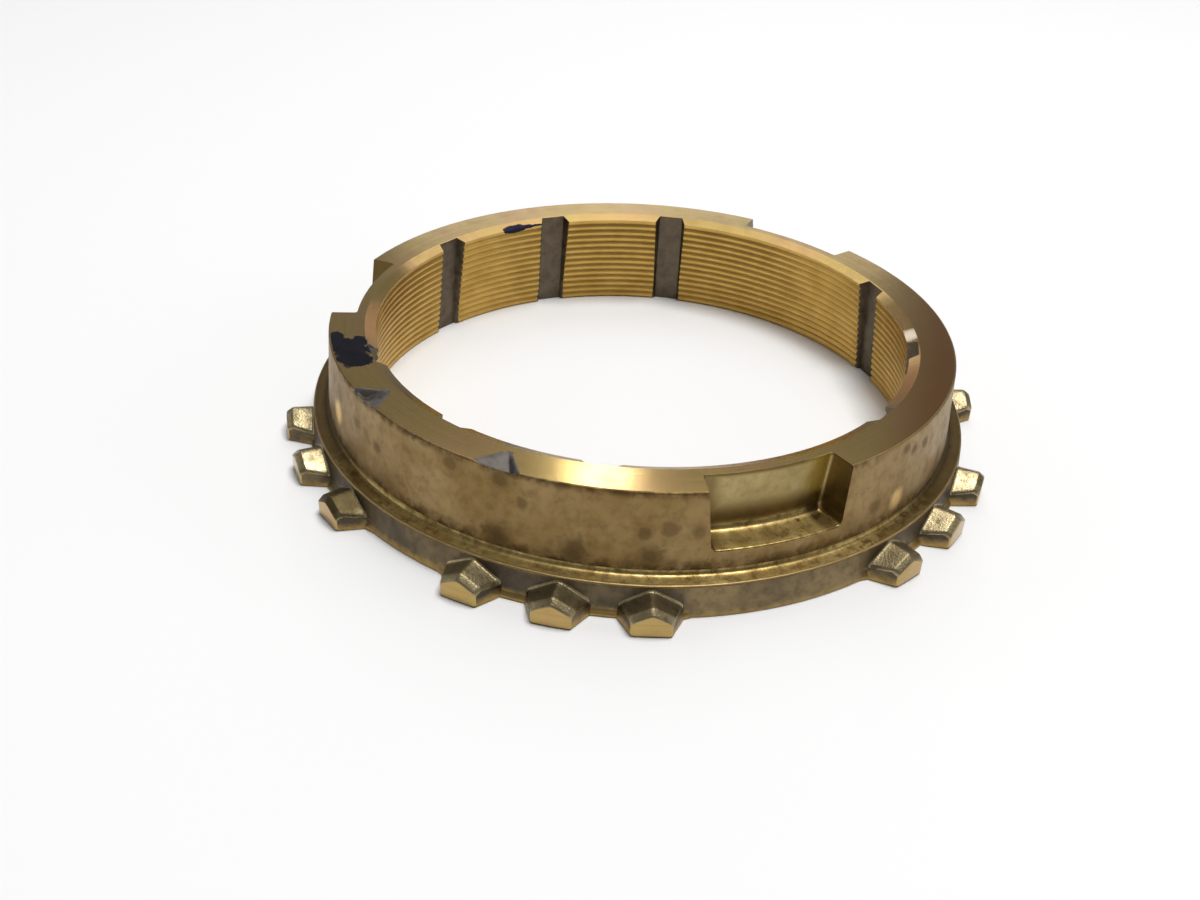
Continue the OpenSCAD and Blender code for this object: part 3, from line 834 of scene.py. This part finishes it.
warm = add(turned, "MapRange", {0: tint, 1: 0.38, 2: 0.62}, **SOFT)
colour = add(turned, "Mix", {0: warm, 6: linear("#b69c60"), 7: linear("#bb9a68")}, **COLOUR)
# Painted reflection: a redder brown on one side of the top face.
warm_reflection = add(turned, "VectorMath", {0: place, 1: WARM_REFLECTION_SIDE}, operation="DOT_PRODUCT", out="Value")
warm_reflection = add(turned, "MapRange", {0: warm_reflection, 1: 46.8, 2: 53.8, 4: 0.95}, **SOFT)
dirt = add(turned, "MapRange", {0: cloud, 1: 0.45, 2: 0.75, 4: 0.3})
line = add(turned, "MapRange", {0: rings, 1: 0.5, 2: 0.85, 4: 0.3})
fray = add(turned, "MapRange", {0: cloud, 1: 0.2, 2: 0.8, 3: -0.2, 4: 0.2})
# Painted glint: a nearly white, rougher patch on the chamfer only.
chamfer_glint = spots(turned, place, fray, CHAMFER_GLINT, WALL_TO_CHAMFER)
inside_edge = {0: radius_mm, 1: CHAMFER_RADIUS + 0.01, 2: CHAMFER_RADIUS - 0.03}
inside_edge = add(turned, "MapRange", inside_edge)
chamfer_glint = add(turned, "Math", {0: chamfer_glint, 1: inside_edge}, operation="MULTIPLY")
soiled = spots(turned, place, fray, SOILED, WALL_TO_CHAMFER)
soiled = add(turned, "Math", {0: soiled, 1: inside_edge}, operation="MULTIPLY")
coats = ((warm_reflection, "#96683a"), (dirt, "#8f7444"), (line, "#8a6d40"), (soiled, "#94642a"), (chamfer_glint, "#fff2dc"))
for cover, code in coats:
    colour = add(turned, "Mix", {0: cover, 6: colour, 7: linear(code)}, **COLOUR)
ink = ink_mask(turned, place)
streak = add(turned, "MapRange", {0: cloud, 1: 0.3, 2: 0.7})
blue = add(turned, "Mix", {0: streak, 6: linear("#151422"), 7: linear("#282639")}, **COLOUR)
colour = add(turned, "Mix", {0: ink, 6: colour, 7: blue}, **COLOUR)
print(len(INK), "ink marks,", len(CHAMFER_GLINT), "nick,", len(SOILED), "soiled stretches")

# %% Shine and rings of the turned faces
dull = add(turned, "MapRange", {0: cloud, 1: 0.3, 2: 0.7, 3: 0.15, 4: 0.185})
for mark, change in ((chamfer_glint, 0.36), (soiled, 0.2)):
    dull = add(turned, "Math", {0: mark, 1: change, 2: dull}, operation="MULTIPLY_ADD")
wavy = add(turned, "Bump", {"Height": bands, "Strength": 0.5, "Distance": 0.008 * MM})
ringed = add(turned, "Bump", {"Height": rings, "Strength": 0.5, "Distance": 0.005 * MM, "Normal": wavy})
dress(turned, shader, colour, dull, ringed)
print(len(turned.nodes), "nodes in the turned finish")

# %% [markdown]
# ## Thread of the cone
# The thread was cut in one pass and never touched again, so its lands are the yellowest brass on
# the ring, and the roots get painted shade. The depth that each point carries mixes the two, which
# keeps the dark lines exactly in the grooves.

# %% Thread
threaded, shader, place = new_finish("thread_cut_brass", 0.4)
root = add(threaded, "Attribute", attribute_name="deep", out="Fac")
cloud = add(threaded, "TexNoise", {0: place, "Scale": 1 / 3, "Detail": 4, "Roughness": 0.6})
speck = add(threaded, "TexNoise", {0: place, "Scale": 1 / 0.3, "Detail": 2})
worn_land = add(threaded, "MapRange", {0: cloud, 1: 0.35, 2: 0.68})
colour = add(threaded, "Mix", {0: worn_land, 6: linear("#d0ad60"), 7: linear("#be9b51")}, **COLOUR)
# Painted shade in the roots of the thread.
root_shade = add(threaded, "Math", {0: speck, 1: 0.5, 2: root}, operation="MULTIPLY_ADD")
root_shade = add(threaded, "MapRange", {0: root_shade, 1: 0.6, 2: 1.25, 4: 0.5})
colour = add(threaded, "Mix", {0: root_shade, 6: colour, 7: linear("#c09956")}, **COLOUR)
ink = ink_mask(threaded, place)
colour = add(threaded, "Mix", {0: ink, 6: colour, 7: linear("#1f1e30")}, **COLOUR)
dull = add(threaded, "MapRange", {0: root, 3: 0.36, 4: 0.5})
rough = add(threaded, "Bump", {"Height": speck, "Strength": 0.4, "Distance": 0.01 * MM})
dress(threaded, shader, colour, dull, rough)
print(len(threaded.nodes), "nodes in the thread's finish")

# %% [markdown]
# ## Oil grooves, notches and scale
# The oil grooves and the notches come straight from the die, and no tool has cleaned them, so they
# are covered with grey-brown scale, and so are the flanks of the teeth and the rim between them.
# It is a thin skin on metal: darker and duller than brass, but it still shines a little. The rim's
# lower edge was trimmed and is yellow again.

# %% Oil grooves and notches
for name, dark, pale, low, high in (
    ("oil_groove_scale", "#584e41", "#766b5b", 0.4, 0.58),
    ("pressed_notch_scale", "#55504c", "#7b7570", 0.6, 0.72),
):
    scale, shader, place = new_finish(name)
    cloud = add(scale, "TexNoise", {0: place, "Scale": 1 / 1.2, "Detail": 5, "Roughness": 0.65})
    grain = add(scale, "TexNoise", {0: place, "Scale": 1 / 0.18, "Detail": 2})
    mixed = add(scale, "MapRange", {0: cloud, 1: 0.35, 2: 0.65})
    colour = add(scale, "Mix", {0: mixed, 6: linear(dark), 7: linear(pale)}, **COLOUR)
    dull = add(scale, "MapRange", {0: cloud, 1: 0.35, 2: 0.65, 3: low, 4: high})
    rough = add(scale, "Bump", {"Height": grain, "Strength": 0.6, "Distance": 0.015 * MM})
    dress(scale, shader, colour, dull, rough)
    print(name, "has", len(scale.nodes), "nodes")

# %% Colour of the rim and the flanks
rim, shader, place = new_finish("rim_scale")
height_mm = add(rim, "SeparateXYZ", {0: place}, out=2)
clouds = add(rim, "TexNoise", {0: place, "Scale": 1 / 8, "Detail": 3})
mottle = add(rim, "TexNoise", {0: place, "Scale": 1 / 0.9, "Detail": 5, "Roughness": 0.65})
grain = add(rim, "TexNoise", {0: place, "Scale": 1 / 0.16, "Detail": 2})
clean_and_sheen = add(rim, "Attribute", attribute_name="clean_and_sheen", out="Fac")
thin = add(rim, "Math", {0: clean_and_sheen, 1: 0.15, 2: clouds}, operation="MULTIPLY_ADD")
thin = add(rim, "MapRange", {0: thin, 1: 0.42, 2: 0.72}, **SOFT)
colour = add(rim, "Mix", {0: thin, 6: linear("#564d41"), 7: linear("#8a7857")}, **COLOUR)
fleck = add(rim, "MapRange", {0: mottle, 1: 0.45, 2: 0.72, 4: 0.45})
foot = add(rim, "Math", {0: mottle, 1: 0.9, 2: height_mm}, operation="MULTIPLY_ADD")
foot = add(rim, "Math", {0: clean_and_sheen, 1: 0.4, 2: foot}, operation="MULTIPLY_ADD")
side = add(rim, "SeparateXYZ", {0: place})
side = add(rim, "MapRange", {0: side, 1: -22, 2: 4, 3: 0.5, 4: 0})
foot = add(rim, "Math", {0: foot, 1: side}, operation="ADD")
foot = add(rim, "MapRange", {0: foot, 1: 1.5, 2: 0.75, 4: 0.85})
for cover, code in ((fleck, "#473e32"), (foot, "#ad9054")):
    colour = add(rim, "Mix", {0: cover, 6: colour, 7: linear(code)}, **COLOUR)
print(len(rim.nodes), "nodes for the colour of the rim")

# %% Shine and grain of the rim and the flanks
dull = add(rim, "MapRange", {0: mottle, 1: 0.3, 2: 0.7, 3: 0.38, 4: 0.55})
uneven = add(rim, "Bump", {"Height": mottle, "Strength": 0.6, "Distance": 0.04 * MM})
rough = add(rim, "Bump", {"Height": grain, "Strength": 0.6, "Distance": 0.015 * MM, "Normal": uneven})
dress(rim, shader, colour, dull, rough)
print("rim_scale has", len(rim.nodes), "nodes")

# %% The finishes go on the ring
for name in (
    "forged_brass_skin", "turned_brass_face", "thread_cut_brass", "oil_groove_scale",
    "pressed_notch_scale", "rim_scale", "rubbed_brass", "struck_brass_roof",
):
    ring_mesh.materials.append(bpy.data.materials[name])
print([m.name for m in ring_mesh.materials])

# %% [markdown]
# ## Floor, light and camera
# The ring lies on a plain white sheet that fills the view and takes its shadow. Metal shows what is
# round it, so the light is made of a few soft lamps with darker air between them: a short strip
# behind the ring, whose reflection makes the bright fan on the top face, a low window below it for
# the far side of that face, a large dim wall behind both that lifts the rest of it, a lamp overhead
# that lights the sheet and draws the bright lines in the fillets, a weak one high behind the ring
# for the chamfer, and weak ones left and right that lift the ends of the wall. The camera stands
# close and a little tilted, as one held in the hand does.

# %% Floor
FLOOR_HALF = 2
floor_mesh = bpy.data.meshes.new("floor")
floor_corners = [(x * FLOOR_HALF, y * FLOOR_HALF, 0) for x, y in ((-1, -1), (1, -1), (1, 1), (-1, 1))]
floor_mesh.from_pydata(floor_corners, [], [(0, 1, 2, 3)])
sheet = bpy.data.objects.new("floor", floor_mesh)
bpy.context.scene.collection.objects.link(sheet)
paper = bpy.data.materials.new("white_paper")
paper.use_nodes = True
paper_shader = paper.node_tree.nodes["Principled BSDF"]
paper_shader.inputs["Base Color"].default_value = linear("#f4f4f4")
paper_shader.inputs["Roughness"].default_value = 0.9
paper_shader.inputs["Specular IOR Level"].default_value = 0.2
floor_mesh.materials.append(paper)
print("floor of", paper.name, 2 * FLOOR_HALF, "m wide")


# %% Lamps and sky
def lamp(name, place, width, height, power):
    """An area lamp that points at the middle of the ring; place and sizes in metres, power in watts."""
    data = bpy.data.lights.new(name, "AREA")
    data.shape = "RECTANGLE"
    data.size, data.size_y = width, height
    data.energy = power
    made = bpy.data.objects.new(name, data)
    bpy.context.scene.collection.objects.link(made)
    made.location = place
    made.rotation_euler = Vector(place).to_track_quat("Z", "Y").to_euler()
    print("lamp", name, "of", power, "W")


lamp("strip", (-0.3805, 0.487, 0.425), 0.04, 0.08, 0.14)
lamp("low window", (-0.446, 0.608, 0.275), 0.39, 0.112, 0.15)
lamp("pale wall", (-0.42, 0.6, 0.4), 0.62, 0.42, 0.06)
lamp("overhead", (0.12, 0.07, 0.778), 0.33, 0.33, 4.7)
lamp("high back", (-0.26, 0.36, 0.66), 0.5, 0.44, 0.96)
lamp("left", (-0.62, -0.45, 0.25), 0.4, 0.4, 0.5)
lamp("right", (0.62, 0.35, 0.22), 0.4, 0.4, 0.5)
world = bpy.data.worlds.new("studio")
bpy.context.scene.world = world
world.use_nodes = True
world.node_tree.nodes["Background"].inputs["Color"].default_value = (1, 1, 1, 1)
world.node_tree.nodes["Background"].inputs["Strength"].default_value = 0.22

# %% Camera
STAND, AIM, ROLL = Vector((66.90, -92.31, 68.02)), Vector((7.53, -15.74, 5.70)), 3.01
camera_data = bpy.data.cameras.new("camera")
camera_data.sensor_width = 36
camera_data.lens = 36.44
camera_data.clip_start = 0.005
camera = bpy.data.objects.new("camera", camera_data)
bpy.context.scene.collection.objects.link(camera)
bpy.context.scene.camera = camera
look = (AIM - STAND).to_track_quat("-Z", "Y").to_matrix().to_4x4()
roll = Matrix.Rotation(np.radians(ROLL), 4, "Z")
camera.matrix_world = Matrix.Translation(STAND * MM) @ look @ roll
bpy.context.scene.view_settings.view_transform = "Standard"
print("lens", camera_data.lens, "mm, camera", [round(v / MM) for v in camera.location], "mm from the middle")
